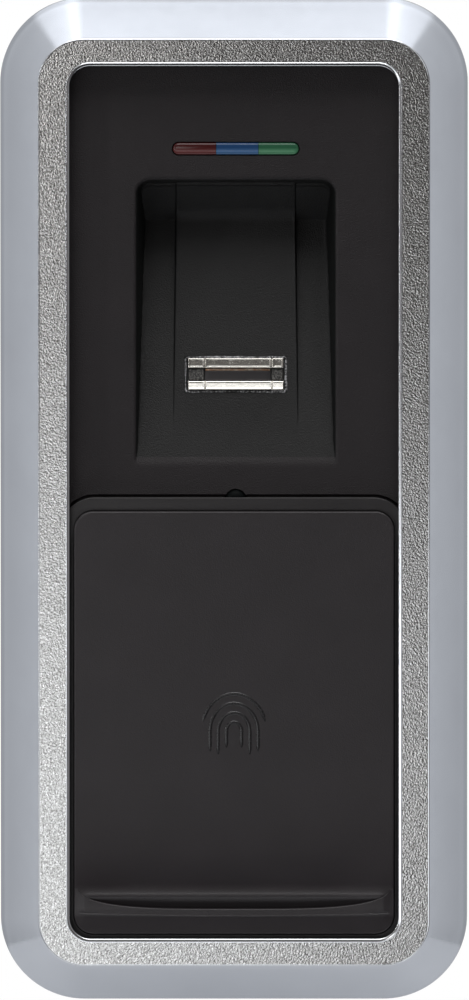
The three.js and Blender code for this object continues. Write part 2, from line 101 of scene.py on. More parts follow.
def finish_mesh(name, bm, materials, sharp=SHARP_ANGLE):
    """Makes the object, with outward normals and edges sharper than the angle kept sharp."""
    bmesh.ops.recalc_face_normals(bm, faces=bm.faces)
    for face in bm.faces:
        face.smooth = True
    mark_sharp(bm, sharp)
    mesh = bpy.data.meshes.new(name)
    bm.to_mesh(mesh)
    bm.free()
    for material in materials:
        mesh.materials.append(material)
    return add_object(name, mesh)


def rounded_rect(half_width, half_height, corner, segments=20, centre=(0, 0)):
    """Points of a rectangle with round corners, anticlockwise seen from the front."""
    points = []
    for quarter, (sx, sy) in enumerate(((1, 1), (-1, 1), (-1, -1), (1, -1))):
        cx = centre[0] + sx * (half_width - corner)
        cy = centre[1] + sy * (half_height - corner)
        for step in range(segments + 1):
            angle = (quarter + step / segments) * math.pi / 2
            points.append((cx + corner * math.cos(angle), cy + corner * math.sin(angle)))
    return points


def loft(name, rings, materials, closed=False, material_of=None, sharp=SHARP_ANGLE):
    """Joins rings of points one to the next. A closed loft joins the last ring to the first,
    and an open one gets a face at both ends."""
    bm = bmesh.new()
    made = [[bm.verts.new(point) for point in ring] for ring in rings]
    count = len(rings[0])
    last = len(made) if closed else len(made) - 1
    for index in range(last):
        lower, upper = made[index], made[(index + 1) % len(made)]
        for k in range(count):
            n = (k + 1) % count
            face = bm.faces.new((lower[k], lower[n], upper[n], upper[k]))
            face.material_index = material_of(index) if material_of else 0
    if not closed:
        bm.faces.new(made[0])
        bm.faces.new(made[-1])
    return finish_mesh(name, bm, materials, sharp)


def rect_loft(name, levels, materials, centre=(0, 0), segments=20, **options):
    """A loft of round-cornered rectangles, each (half_width, half_height, corner, out)."""
    rings = [
        [at(x, up, out) for x, up in rounded_rect(hw, hh, corner, segments, centre)]
        for hw, hh, corner, out in levels
    ]
    return loft(name, rings, materials, **options)


def edge_loft(name, outline, section, materials, **options):
    """A loft that follows a round-cornered outline, (half_width, low, high, corner), with a
    section of (gap outside it, out) points."""
    half_width, low, high, corner = outline
    half = (high - low) / 2
    levels = [(half_width + gap, half + gap, corner + gap, out) for gap, out in section]
    return rect_loft(name, levels, materials, centre=(0, (low + high) / 2), **options)


def plate_levels(half_width, half_height, corner, back, front, fillet, back_fillet=None, steps=4):
    """Levels of a flat plate whose front and back edges are round."""
    back_fillet = fillet if back_fillet is None else back_fillet
    angles = [step / steps * math.pi / 2 for step in range(steps + 1)]
    section = [
        (back_fillet * (1 - math.sin(a)), back + back_fillet * (1 - math.cos(a))) for a in angles
    ]
    section += [(fillet * (1 - math.cos(a)), front - fillet * (1 - math.sin(a))) for a in angles]
    return [(half_width - gap, half_height - gap, corner - gap, out) for gap, out in section]


def turned(name, profile, place, materials, segments=32, along="out"):
    """A turned piece from [radius, distance] points that start and end on the axis. The axis
    goes out of the wall, or up."""
    rings = []
    for radius, distance in profile:
        ring = []
        for step in range(segments):
            angle = 2 * math.pi * step / segments
            a, b = max(radius, 1e-4) * math.cos(angle), max(radius, 1e-4) * math.sin(angle)
            if along == "out":
                ring.append(at(place[0] + a, place[1] + b, distance))
            else:
                ring.append(at(place[0] + a, distance, place[1] - b))
        rings.append(ring)
    return loft(name, rings, materials)


def stations(anchors, counts):
    """Grid lines between anchor arrays: counts[i] steps from anchors[i] to anchors[i + 1]."""
    lines = [anchors[0]]
    for (start, end), count in zip(zip(anchors, anchors[1:]), counts):
        for step in range(1, count + 1):
            lines.append(start + (end - start) * step / count)
    return lines


def relief(name, x_grid, up_grid, front, back, material, place=at):
    """A closed slab over a grid of points. Its back may be one number, where it is flat."""
    rows, columns = x_grid.shape
    vertices = []
    for surface in (front, np.broadcast_to(back, front.shape)):
        for x, up, out in zip(x_grid.flat, up_grid.flat, surface.flat):
            vertices.append(place(float(x), float(up), float(out)))
    half = rows * columns
    faces = []
    for r in range(rows - 1):
        for c in range(columns - 1):
            a = r * columns + c
            b, d, e = a + 1, a + columns, a + columns + 1
            faces.append((a, b, e, d))
            faces.append((half + a, half + d, half + e, half + b))
    edge = list(range(columns))
    edge += [r * columns + columns - 1 for r in range(1, rows)]
    edge += [(rows - 1) * columns + c for c in range(columns - 2, -1, -1)]
    edge += [r * columns for r in range(rows - 2, 0, -1)]
    for k, a in enumerate(edge):
        b = edge[(k + 1) % len(edge)]
        faces.append((a, half + a, half + b, b))
    mesh = bpy.data.meshes.new(name + "_raw")
    mesh.from_pydata(vertices, [], faces)
    bm = bmesh.new()
    bm.from_mesh(mesh)
    bpy.data.meshes.remove(mesh)
    return finish_mesh(name, bm, [material], RELIEF_SHARP_ANGLE)


def carve(piece, cutters, operation="DIFFERENCE"):
    """Cuts the cutters out of the piece, and removes them."""
    for cutter in cutters:
        modifier = piece.modifiers.new("carve", "BOOLEAN")
        modifier.operation = operation
        modifier.solver = "EXACT"
        modifier.object = cutter
    graph = bpy.context.evaluated_depsgraph_get()
    mesh = bpy.data.meshes.new_from_object(piece.evaluated_get(graph))
    mesh.name = piece.name
    piece.modifiers.clear()
    piece.data = mesh
    for cutter in cutters:
        bpy.data.objects.remove(cutter)
    bm = bmesh.new()
    bm.from_mesh(mesh)
    mark_sharp(bm, SHARP_ANGLE)
    bm.to_mesh(mesh)
    bm.free()
    return piece


def across(behind, ahead):
    """The direction across a line in the plane, from two points along it."""
    along = Vector((ahead[0] - behind[0], ahead[1] - behind[1])).normalized()
    return Vector((along.y, -along.x))


# ---- Height functions, on numpy arrays ----


def smooth_min(a, b, reach):
    """The smaller of the two, rounded where they meet."""
    h = np.clip(0.5 + 0.5 * (b - a) / reach, 0, 1)
    return b * (1 - h) + a * h - reach * h * (1 - h)


def smooth_step(low, high, value):
    t = np.clip((value - low) / (high - low), 0, 1)
    return t * t * (3 - 2 * t)


def inside_distance(x, up, half_width, low, high, corner):
    """How far a point is inside a round-cornered rectangle, negative outside."""
    middle, half = (low + high) / 2, (high - low) / 2
    qx = np.abs(x) - (half_width - corner)
    qy = np.abs(up - middle) - (half - corner)
    beyond = np.hypot(np.maximum(qx, 0), np.maximum(qy, 0))
    return corner - beyond - np.minimum(np.maximum(qx, qy), 0)


def rolled_wall(distance, slope, radius):
    """How deep a wall has gone at a distance past its round upper edge."""
    angle = np.arctan(slope)
    run = radius * np.sin(angle)
    u = distance + 0.5 * radius
    arc = radius - np.sqrt(np.maximum(radius**2 - np.clip(u, 0, run) ** 2, 0))
    straight = radius * (1 - np.cos(angle)) + slope * (u - run)
    return np.where(u <= 0, 0, np.where(u < run, arc, straight))


# ---- Node helpers ----


def split_axes(tree, vector):
    node = tree.nodes.new("ShaderNodeSeparateXYZ")
    tree.links.new(vector, node.inputs[0])
    return node.outputs


def vector_math(tree, operation, vector):
    node = tree.nodes.new("ShaderNodeVectorMath")
    node.operation = operation
    tree.links.new(vector, node.inputs[0])
    return node


def map_range(tree, value, from_low, from_high, to_low=0, to_high=1):
    """The value, carried from one range to another and held at its ends."""
    node = tree.nodes.new("ShaderNodeMapRange")
    tree.links.new(value, node.inputs["Value"])
    ends = {"From Min": from_low, "From Max": from_high, "To Min": to_low, "To Max": to_high}
    for socket, number in ends.items():
        node.inputs[socket].default_value = number
    return node.outputs["Result"]


def colour_ramp(tree, value, stops):
    """The colour at the value, between stops of (value, colour)."""
    node = tree.nodes.new("ShaderNodeValToRGB")
    tree.links.new(value, node.inputs["Fac"])
    elements = node.color_ramp.elements
    elements.remove(elements[-1])
    elements[0].position = stops[0][0]
    elements[0].color = (*stops[0][1], 1)
    for position, colour in stops[1:]:
        elements.new(position).color = (*colour, 1)
    return node.outputs["Color"]


def mixed(tree, factor, first, second):
    """Blends two colours. Either may be another node's output."""
    node = tree.nodes.new("ShaderNodeMix")
    node.data_type = "RGBA"
    tree.links.new(factor, node.inputs["Factor"])
    for socket, colour in (("A", first), ("B", second)):
        if isinstance(colour, tuple):
            node.inputs[socket].default_value = (*colour, 1)
        else:
            tree.links.new(colour, node.inputs[socket])
    return node.outputs["Result"]


# ---- Materials ----


class Shader:
    """A node material with a Principled shader, built up in a few calls."""

    def __init__(self, name):
        self.material = bpy.data.materials.new(name)
        self.material.use_nodes = True
        self.tree = self.material.node_tree
        self.principled = self.tree.nodes["Principled BSDF"]
        self.coordinates = self.add("ShaderNodeTexCoord").outputs["Object"]

    def add(self, kind, **values):
        """A new node, with values for its input sockets."""
        node = self.tree.nodes.new(kind)
        for socket, value in values.items():
            node.inputs[socket].default_value = value
        return node

    def link(self, output, node, socket):
        self.tree.links.new(output, node.inputs[socket])

    def set(self, **values):
        for key, value in values.items():
            self.principled.inputs[key.replace("_", " ")].default_value = value
        return self

    def noise(self, size, detail=2.0, roughness=0.5, distortion=0.0, stretch=(1, 1, 1)):
        """Noise whose features are about size millimetres across."""
        mapping = self.add("ShaderNodeMapping", Scale=stretch)
        self.link(self.coordinates, mapping, "Vector")
        node = self.add(
            "ShaderNodeTexNoise", Scale=1 / (size * MM), Detail=detail, Roughness=roughness,
            Distortion=distortion,
        )
        self.link(mapping.outputs["Vector"], node, "Vector")
        return node.outputs["Fac"]

    def ramp(self, value, low, high, from_low=0.3, from_high=0.7):
        return map_range(self.tree, value, from_low, from_high, low, high)

    def colour_from(self, value, first, second):
        self.link(mixed(self.tree, value, first, second), self.principled, "Base Color")

    def roughness_from(self, value, low, high):
        self.link(self.ramp(value, low, high), self.principled, "Roughness")

    def bump(self, value, height):
        """Bump of the given height in millimetres."""
        node = self.add("ShaderNodeBump", Distance=height * MM)
        self.link(value, node, "Height")
        self.link(node.outputs["Normal"], self.principled, "Normal")

    def reflect_by_height(self, stops):
        """Sets how strongly it reflects, between stops of (millimetres up, level)."""
        low, high = stops[0][0], stops[-1][0]
        height = split_axes(self.tree, self.coordinates)["Z"]
        share = map_range(self.tree, height, low * MM, high * MM)
        levels = [((up - low) / (high - low), (level,) * 3) for up, level in stops]
        self.link(colour_ramp(self.tree, share, levels), self.principled, "Specular IOR Level")


def moulded(name, colour, roughness, grain, grain_height, specular=0.5, stops=None):
    """Moulded plastic with a spark-eroded grain, slightly uneven in colour and gloss."""
    shader = Shader(name)
    lighter = tuple(channel * 1.12 for channel in colour)
    darker = tuple(channel * 0.9 for channel in colour)
    shader.colour_from(shader.ramp(shader.noise(7, 3), 0, 1), darker, lighter)
    shader.roughness_from(shader.noise(0.5, 3), roughness - 0.03, roughness + 0.04)
    shader.bump(shader.noise(grain, 3, 0.6), grain_height)
    # Stops paint shade into how strongly it reflects, by height.
    if stops:
        shader.reflect_by_height(stops)
    return shader.set(Specular_IOR_Level=specular).material


def plated(name, colour, roughness, ripple=0.0015):
    """Smooth plated metal: faint haze and a very slight ripple."""
    shader = Shader(name)
    lighter = tuple(min(1, channel * 1.04) for channel in colour)
    shader.colour_from(shader.ramp(shader.noise(9, 2), 0, 1), colour, lighter)
    shader.roughness_from(shader.noise(1.6, 3), roughness - 0.03, roughness + 0.04)
    shader.bump(shader.noise(0.35, 2), ripple)
    return shader.set(Metallic=1).material


def grained_metal():
    """Plated metal over a pebbled grain."""
    shader = Shader("bezel_grained")
    pebbles = shader.ramp(shader.noise(0.33, 2), 0, 1, 0.35, 0.6)
    shader.colour_from(pebbles, (0.70, 0.70, 0.69), (0.88, 0.88, 0.88))
    shader.roughness_from(shader.noise(0.5, 2), 0.15, 0.24)
    shader.bump(shader.noise(0.28, 2, 0.5, 0.3), 0.040)
    return shader.set(Metallic=1).material


def lens_plastic(name, dark, light):
    """Tinted clear plastic with painted light: its lower half is coloured lighter, where the light
    wells up.
    """
    shader = Shader(name)
    height = split_axes(shader.tree, shader.coordinates)["Z"]
    light_until, dark_from = (LIGHT_UP - 0.45) * MM, (LIGHT_UP + 0.15) * MM
    # Painted light and shade: the colour is lighter below the bar's middle and darker above it.
    shader.colour_from(shader.ramp(height, 1, 0, light_until, dark_from), dark, light)
    shader.roughness_from(shader.noise(0.7, 2), 0.12, 0.2)
    shader.bump(shader.noise(0.9, 1), 0.004)
    return shader.set(IOR=1.45).material


def rough_resin():
    """Dark potting with pale grains in it."""
    shader = Shader("sensor_resin")
    spots = shader.ramp(shader.noise(0.22, 2, 0.7), 0, 1, 0.45, 0.62)
    shader.colour_from(spots, (0.018, 0.017, 0.016), (0.16, 0.155, 0.145))
    shader.roughness_from(shader.noise(0.3), 0.35, 0.6)
    shader.bump(shader.noise(0.2, 3, 0.7), 0.09)
    return shader.material


def speckled(name, first, second, size, metallic=0):
    """Two colours in patches of the given size, over an uneven surface."""
    shader = Shader(name)
    shader.colour_from(shader.ramp(shader.noise(size, 2, 0.6), 0, 1, 0.45, 0.6), first, second)
    shader.roughness_from(shader.noise(0.4), 0.25, 0.4)
    shader.bump(shader.noise(size / 2, 2), 0.01)
    return shader.set(Metallic=metallic).material


def contact_metal():
    """Polished metal with faint streaks along the bar."""
    shader = Shader("sensor_bar_metal")
    streaks = shader.noise(0.3, 3, 0.6, 0, (0.15, 1, 1))
    shader.colour_from(shader.ramp(streaks, 0, 1), (0.80, 0.77, 0.71), (0.95, 0.93, 0.87))
    shader.roughness_from(shader.noise(0.6, 3), 0.18, 0.28)
    shader.bump(streaks, 0.002)
    return shader.set(Metallic=1).material


def board_mask():
    """Green solder mask over uneven copper."""
    shader = Shader("board_mask")
    patches = shader.ramp(shader.noise(6, 3), 0, 1)
    shader.colour_from(patches, (0.012, 0.075, 0.035), (0.02, 0.12, 0.055))
    shader.roughness_from(shader.noise(2), 0.3, 0.45)
    shader.bump(shader.noise(1.5, 2), 0.02)
    return shader.material


bezel_smooth = plated("bezel_smooth", (0.83, 0.845, 0.87), 0.14, 0.0025)
bezel_grained = grained_metal()
panel_plastic = moulded("panel_plastic", (0.0130, 0.0096, 0.0110), 0.46, 0.2, 0.12, 0.49)
# The groove's floor and walls get darker, duller copies of the panel's plastic: painted shade.
groove_shade_plastic = moulded("groove_shade_plastic", (0.0096, 0.0095, 0.0094), 0.47, 0.2, 0.12, 0.38)
groove_wall_shade_plastic = moulded("groove_wall_shade_plastic", (0.0086, 0.0092, 0.0090), 0.5, 0.2, 0.05, 0.2)
# How strongly the cover reflects, by height, as painted shade: it is duller above its grip and
# on its bottom edge. The levels are fitted to the photo's brightness there.
COVER_SHADE_LEVELS = [
    (-63.0, 0.36), (-60.35, 0.37), (-60.0, 0.66), (-59.4, 0.66), (-59.0, 0.75), (-57.0, 0.56),
    (-55.6, 0.27), (-53.6, 0.355), (-50.9, 0.45), (-45.7, 0.56), (-40.0, 0.62),
]
cover_plastic = moulded(
    "cover_plastic", (0.0196, 0.0158, 0.0176), 0.43, 0.18, 0.035, stops=COVER_SHADE_LEVELS
)
carrier_plastic = moulded("carrier_plastic", (0.0162, 0.0141, 0.0151), 0.45, 0.16, 0.02, 0.65)
case_plastic = moulded("case_plastic", (0.022, 0.022, 0.023), 0.62, 0.3, 0.04, 0.4)
mark_plastic = moulded("mark_plastic", (0.012, 0.011, 0.012), 0.26, 0.3, 0.004, 0.6)
detent_plastic = moulded("detent_plastic", (0.003, 0.004, 0.004), 0.5, 0.3, 0.01, 0.05)
gasket_rubber = moulded("gasket_rubber", (0.012, 0.012, 0.012), 0.8, 0.4, 0.03, 0.3)
component_plastic = moulded("component_plastic", (0.015, 0.015, 0.016), 0.5, 0.15, 0.02)
led_plastic = moulded("led_plastic", (0.7, 0.68, 0.62), 0.45, 0.2, 0.01)
silicon = moulded("silicon", (0.030, 0.027, 0.029), 0.32, 0.5, 0.003, 0.7)
flex_film = moulded("flex_film", (0.36, 0.15, 0.04), 0.35, 1.2, 0.02)
battery_jacket = plated("battery_jacket", (0.22, 0.24, 0.27), 0.35, 0.01)
steel = plated("steel", (0.52, 0.53, 0.55), 0.3, 0.008)
nickel = plated("nickel", (0.66, 0.63, 0.57), 0.28, 0.006)
resin = rough_resin()
bar_metal = contact_metal()
board = board_mask()
sealant = speckled("sealant", (0.02, 0.02, 0.021), (0.42, 0.42, 0.43), 0.3)
copper = speckled("copper", (0.62, 0.36, 0.24), (0.86, 0.74, 0.62), 1.6, 1)
# Each lens has a darker and a lighter colour, for its painted shade and light.
LENS_COLOURS = {
    "red": lens_plastic("lens_red", (0.060, 0.010, 0.010), (0.165, 0.045, 0.044)),
    "blue": lens_plastic("lens_blue", (0.018, 0.062, 0.165), (0.070, 0.175, 0.370)),
    "green": lens_plastic("lens_green", (0.030, 0.122, 0.062), (0.105, 0.320, 0.170)),
}


def own(piece, body, slot, *nodes):
    """Puts a piece on a body and hides the CAD nodes it stands for. The slot is not used."""
    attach(piece, body)
    if nodes:
        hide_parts(*nodes)
    return piece


# ---- Bezel ----


def make_bezel():
    def inset(amount, out):
        return (*(size - amount for size in BEZEL), out)

    def rim(grow, out):
        return (*(size + grow for size in OPENING), out)

    # Round the section: skirt, bevel, grained band, inner rim, inside.
    face, back = BEZEL_FACE, BEZEL_BACK
    band = face - 0.1
    band_end = rim(0.6, band)
    bevel_foot, bevel_top = face - BEVEL_DEPTH, face - 0.02
    seat_back = PANEL_BACK - 0.3
    levels = [
        inset(0.25, back), inset(0.07, back + 0.07), inset(0, back + 0.25),
        inset(0, bevel_foot - 0.3), inset(0.03, bevel_foot - 0.08), inset(0.11, bevel_foot + 0.1),
        inset(0.25, bevel_foot + 0.36), inset(0.5, bevel_foot + 0.78),
        *bevel_bulge(inset),
        inset(BEVEL_INSET - 0.05, face - 0.08), inset(BEVEL_INSET + 0.01, bevel_top),
        inset(BEVEL_INSET + 0.07, face), inset(BEVEL_INSET + 0.13, bevel_top),
        inset(BEVEL_INSET + 0.16, band), inset(BEVEL_INSET + 0.2, band),
        band_end, rim(0.56, band), rim(0.53, face - 0.04), rim(0.49, face - 0.005),
        rim(0.44, face), rim(0.38, face - 0.012), rim(0.16, face - 0.08), rim(0.1, face - 0.11),
        rim(0.05, face - 0.16), rim(0.02, face - 0.24), rim(0, face - 0.4), rim(0, LIP_BACK),
        (*TRACK, LIP_BACK), (*TRACK, CARRIER_BACK), (*SEAT, CARRIER_BACK),
        (*SEAT, seat_back), (*CAVITY, seat_back), (*CAVITY, back),
    ]
    band_start = levels.index(band_end) - 1
    piece = rect_loft(
        "bezel", levels, [bezel_smooth, bezel_grained], segments=28, closed=True,
        material_of=lambda index: 1 if index == band_start else 0, sharp=math.radians(50),
    )
    own(piece, "case", "bezel_chrome", "bezel_frame")


def bevel_bulge(inset):
    """Levels of the bevel, which bulges very slightly between its two edges."""
    steps, height = 8, 0.08
    slant = math.hypot(BEVEL_INSET, BEVEL_DEPTH)
    levels = []
    for step in range(1, steps):
        share = step / steps
        bulge = height * 4 * share * (1 - share)
        levels.append(inset(
            BEVEL_INSET * share - bulge * BEVEL_DEPTH / slant,
            BEZEL_FACE - BEVEL_DEPTH * (1 - share) + bulge * BEVEL_INSET / slant,
        ))
    return levels


# ---- Front panel ----

# How far the groove's bends are rounded, then its raised edges and its floor's rise.
FOLD_ROUND, TONGUE_ROUND, TONGUE_FOOT_ROUND, WALL_FOOT_ROUND = 0.12, 1.5, 0.08, 0.1
CROWN_RAISE, CROWN_INSET, CROWN_WIDTH = 0.05, 0.16, 0.12
LEDGE_RAISE, LEDGE_SLOPE, SIDE_LEDGE = 0.3, 1.5, 0.15
FLOOR_RISE = 0.1


def tongue_half_width(up):
    """The tongue widens a little over the 34 mm below its top."""
    return 8.62 + 0.38 * np.clip((44.9 - up) / 34, 0, 1)


def tongue_out(up):
    """How far out of the wall the tongue's straight surface is."""
    return PANEL_FACE - TONGUE_DEPTH - TONGUE_SLOPE * (up - TONGUE_LOW)


def groove_depth(x, up):
    """Depth of the finger groove below the panel's face."""
    x = x - PANEL_X
    floor = FLOOR_SLOPE * (up - GROOVE_BOTTOM)
    ramp = FOLD_DEPTH - RAMP_SLOPE * (up - FOLD_UP)
    shelf = smooth_min(floor, ramp, FOLD_ROUND)
    tongue_line = TONGUE_DEPTH + TONGUE_SLOPE * (up - TONGUE_LOW)
    tongue = smooth_min(tongue_line, ramp - TONGUE_PROUD, TONGUE_ROUND)
    tongue = smooth_min(tongue, shelf, TONGUE_FOOT_ROUND)
    past_edge = np.abs(x) - tongue_half_width(up)
    bottom = tongue + (shelf - tongue) * smooth_step(-0.04, 0.14, past_edge)
    # The tongue's edge is slightly raised where it stands proud of the shelf.
    crown = np.exp(-(((past_edge + CROWN_INSET) / CROWN_WIDTH) ** 2))
    crown = crown * np.clip((shelf - tongue) / 0.8, 0, 1)
    bottom = bottom - CROWN_RAISE * crown

    # The top wall leans more than the side walls, and the corners turn from one to the other.
    qx = np.abs(x) - (GROOVE_HALF - GROOVE_CORNER)
    qy = up - (GROOVE_TOP - GROOVE_CORNER)
    turn = np.arctan2(np.maximum(qy, 0), np.maximum(qx, 1e-6)) / (math.pi / 2)
    top_share = np.where((qx > 0) & (qy > 0), turn, np.where(qy > qx, 1.0, 0.0))
    draft = SIDE_DRAFT + (TOP_DRAFT - SIDE_DRAFT) * smooth_step(0, 1, top_share)
    distance = inside_distance(x, up, GROOVE_HALF, -60, GROOVE_TOP, GROOVE_CORNER)
    # The floor rises a little towards the side walls.
    rise = FLOOR_RISE * smooth_step(2.2, 0.8, distance) * (1 - top_share)
    bottom = bottom - rise * smooth_step(0, 1, bottom)
    wall = rolled_wall(distance, draft, EDGE_ROLL)
    # A fine ledge runs along the wall's foot, bold under the top wall and faint at the sides.
    past_foot = (wall - bottom) / draft
    ledge = np.clip(LEDGE_SLOPE * past_foot, 0, LEDGE_RAISE) * smooth_step(0.42, 0.24, past_foot)
    ledge = (SIDE_LEDGE + (1 - SIDE_LEDGE) * top_share) * ledge
    depth = smooth_min(wall, bottom, WALL_FOOT_ROUND) - ledge * smooth_step(0.2, 1, bottom)
    return np.maximum(depth, 0) * (distance > -EDGE_ROLL / 2)


def panel_grid():
    """Points across the panel, close together where the groove bends."""
    ups = np.concatenate([
        np.arange(-66.1, 2.6, 3), np.arange(4.0, 11, 0.5), np.arange(11, 40, 0.75),
        np.arange(40, 44.4, 0.2), np.arange(44.4, 48.1, 0.08), np.arange(48.2, 66, 2.2), [66.1],
    ])
    edge, half = 0 * ups + GROOVE_HALF, tongue_half_width(ups)
    anchors = [0 * ups, half - 0.5, half + 0.4, edge - 2.4, edge + 0.6, 0 * ups + 26.3]
    right = stations(anchors, [14, 15, 6, 44, 8])
    columns = [PANEL_X - line for line in right[:0:-1]] + [PANEL_X + line for line in right]
    x_grid = np.stack(columns, axis=1)
    up_grid = np.repeat(ups[:, None], x_grid.shape[1], axis=1)
    return x_grid, up_grid


def box_cutter(x0, x1, up0, up1, out0, out1, place=at):
    corners = ((x0, up0), (x1, up0), (x1, up1), (x0, up1))
    return loft("cutter", [[place(x, up, out) for x, up in corners] for out in (out0, out1)], [])


def rod_cutter(radius, place, out0, out1):
    profile = [(0, out0), (radius, out0), (radius, out1), (0, out1)]
    return turned("cutter", profile, place, [])


def in_sensor(x, along, proud):
    """A point in the sensor's tilted frame: across, up along the tongue, and proud of it."""
    tilt = math.atan(TONGUE_SLOPE)
    up = SENSOR_UP + along * math.cos(tilt) + proud * math.sin(tilt)
    out = tongue_out(SENSOR_UP) - along * math.sin(tilt) + proud * math.cos(tilt)
    return at(x + PANEL_X, up, out)


def make_panel():
    thickness = 1.3
    x_grid, up_grid = panel_grid()
    front = PANEL_FACE - groove_depth(x_grid, up_grid)
    back = np.minimum(front - thickness, PANEL_BACK)
    piece = relief("panel", x_grid, up_grid, front, back, panel_plastic)
    cut_back, cut_front = PANEL_BACK - 3, PANEL_FACE + 2
    slot_levels = [
        (LIGHT_EDGES[3] + 0.1, LIGHT_HALF_HEIGHT + 0.1, LIGHT_HALF_HEIGHT + 0.09, out)
        for out in (cut_back, cut_front)
    ]
    slot_cutter = rect_loft("cutter", slot_levels, [], centre=(PANEL_X, LIGHT_UP), segments=10)
    detent = (PANEL_X, DETENT_UP)
    carve(piece, [
        slot_cutter,
        box_cutter(-7.45, 7.45, -2.67, 2.67, -5, 3, in_sensor),
        rod_cutter(DETENT_BORE, detent, cut_back, cut_front),
        rod_cutter(DETENT_COUNTERBORE, detent, cut_back, COUNTERBORE_FRONT),
        carrier_shadow_line(),
    ])
    paint_groove_shade(piece)
    own(piece, "case", "panel_black", "front_panel")


def paint_groove_shade(piece):
    """Gives the groove's floor and its side walls darker copies of the panel's plastic: painted
    shade.
    """
    floor_index, wall_index = 1, 2
    margin, floor_drop, wall_normal = 0.4, 0.25, 0.62
    piece.data.materials.append(groove_shade_plastic)
    piece.data.materials.append(groove_wall_shade_plastic)
    for face in piece.data.polygons:
        x, out, up = face.center.x / MM - PANEL_X, -face.center.y / MM, face.center.z / MM
        if abs(x) < GROOVE_HALF + margin and GROOVE_BOTTOM < up < GROOVE_TOP + margin:
            if abs(face.normal.x) > wall_normal:
                face.material_index = wall_index
            elif out < PANEL_FACE - floor_drop:
                face.material_index = floor_index


def carrier_shadow_line():
    """A cutter for the fine groove in the panel along the resting carrier's top edge."""
    section = [(-0.3, 30.1), (0.12, 30.1), (0.42, 30.62), (0.42, 31), (-0.3, 31)]
    return edge_loft("cutter", CARRIER, section, [], closed=True)


# ---- Light bar ----


def make_lenses():
    """Three segments of one round-ended bar with a domed front."""
    half = LIGHT_HALF_HEIGHT
    dome = [(0, 20.7), (0, 30.15), (0.03, 30.4), (0.14, 30.6), (0.32, 30.7), (0.55, 30.75)]
    for index, (colour, material) in enumerate(LENS_COLOURS.items()):
        levels = [
            (LIGHT_EDGES[3] - inset, half - inset, half - inset - 0.002, out) for inset, out in dome
        ]
        lens = rect_loft(
            "lens_" + colour, levels, [material], centre=(PANEL_X, LIGHT_UP), segments=14,
            sharp=math.radians(55),
        )
        left, right = LIGHT_EDGES[index] + PANEL_X + 0.03, LIGHT_EDGES[index + 1] + PANEL_X - 0.03
        keep = box_cutter(left, right, LIGHT_UP - 3, LIGHT_UP + 3, 15, 35)
        carve(lens, [keep], "INTERSECT")
        own(lens, "case", "lens_" + colour, "light_lens_" + colour)


# ---- Swipe sensor ----

BAR_PADS = ((-6.95, -4.5), (-4.42, 5.22), (5.3, 6.95))
CHIP_BACK = -0.44


def rounded_edge(distance, radius):
    """How far an edge with a round corner has dropped, at a distance inside it."""
    short = np.clip(radius - distance, 0, radius)
    return radius - np.sqrt(np.maximum(radius**2 - short**2, 0))


def make_bar(name, low, high, lean):
    """A contact bar of three framed pads, leaning up the tongue by the given drop."""
    proud, fillet, hollow, gap = 0.31, 0.12, 0.035, 0.04
    xs = [BAR_PADS[0][0]]
    for (x0, x1), count in zip(BAR_PADS, (24, 60, 18)):
        shares = [(1 - math.cos(math.pi * k / count)) / 2 for k in range(1, count + 1)]
        xs += [x0 + (x1 - x0) * share for share in shares]
        xs.append(x1 + gap)
    xs = np.array(xs[:-1])
    vs = low + (high - low) * (1 - np.cos(np.pi * np.arange(29) / 28)) / 2
    x_grid, v_grid = np.meshgrid(xs, vs)
    front = np.full_like(x_grid, proud - fillet)
    for x0, x1 in BAR_PADS:
        edge = inside_distance(x_grid - (x0 + x1) / 2, v_grid, (x1 - x0) / 2, low, high, 0.16)
        pad = proud - rounded_edge(edge, fillet) - hollow * smooth_step(0.16, 0.3, edge)
        front = np.where(edge > -1e-6, pad, front)
    share = (v_grid - low) / (high - low) - 0.5
    front = front + lean * share
    piece = relief(name, x_grid, v_grid, front, CHIP_BACK, bar_metal, in_sensor)
    own(piece, "case", "sensor_metal", "sensor_bar_" + name.rsplit("_", 1)[-1])


def rounded_block(name, x0, x1, v0, v1, high, fillet, material, roughen=0.0):
    """A small block with round front edges in the sensor's frame, rough if asked."""
    xs, vs = np.linspace(x0, x1, 26), np.linspace(v0, v1, 20)
    x_grid, v_grid = np.meshgrid(xs, vs)
    middle = (x0 + x1) / 2
    edge = inside_distance(x_grid - middle, v_grid, (x1 - x0) / 2, v0, v1, fillet)
    front = high - rounded_edge(edge, fillet)
    if roughen:
        lumps = np.random.default_rng(7).normal(0, roughen, front.shape)
        front = front + lumps * smooth_step(0.05, 0.25, edge)
    return relief(name, x_grid, v_grid, front, CHIP_BACK, material, in_sensor)


def make_sensor():
    make_bar("contact_bar_top", 0.94, 2.36, 0.0)
    make_bar("contact_bar_bottom", -2.3, -0.98, -0.27)
    strip = rounded_block("silicon_strip", -4.45, 5.08, -0.82, 0.55, -0.22, 0.06, silicon)
    own(strip, "case", "sensor_silicon", "sensor_strip")
    line = rounded_block("copper_line", -4.38, 4.98, 0.62, 0.85, -0.16, 0.05, copper)
    own(line, "case", "sensor_copper", "sensor_contact_line")
    for side, x0, x1 in (("left", -6.85, -4.62), ("right", 5.22, 6.85)):
        end = rounded_block("resin_" + side, x0, x1, -0.82, 0.82, -0.06, 0.1, resin, 0.035)
        own(end, "case", "sensor_potting", "sensor_end_" + side)
    make_sealant()


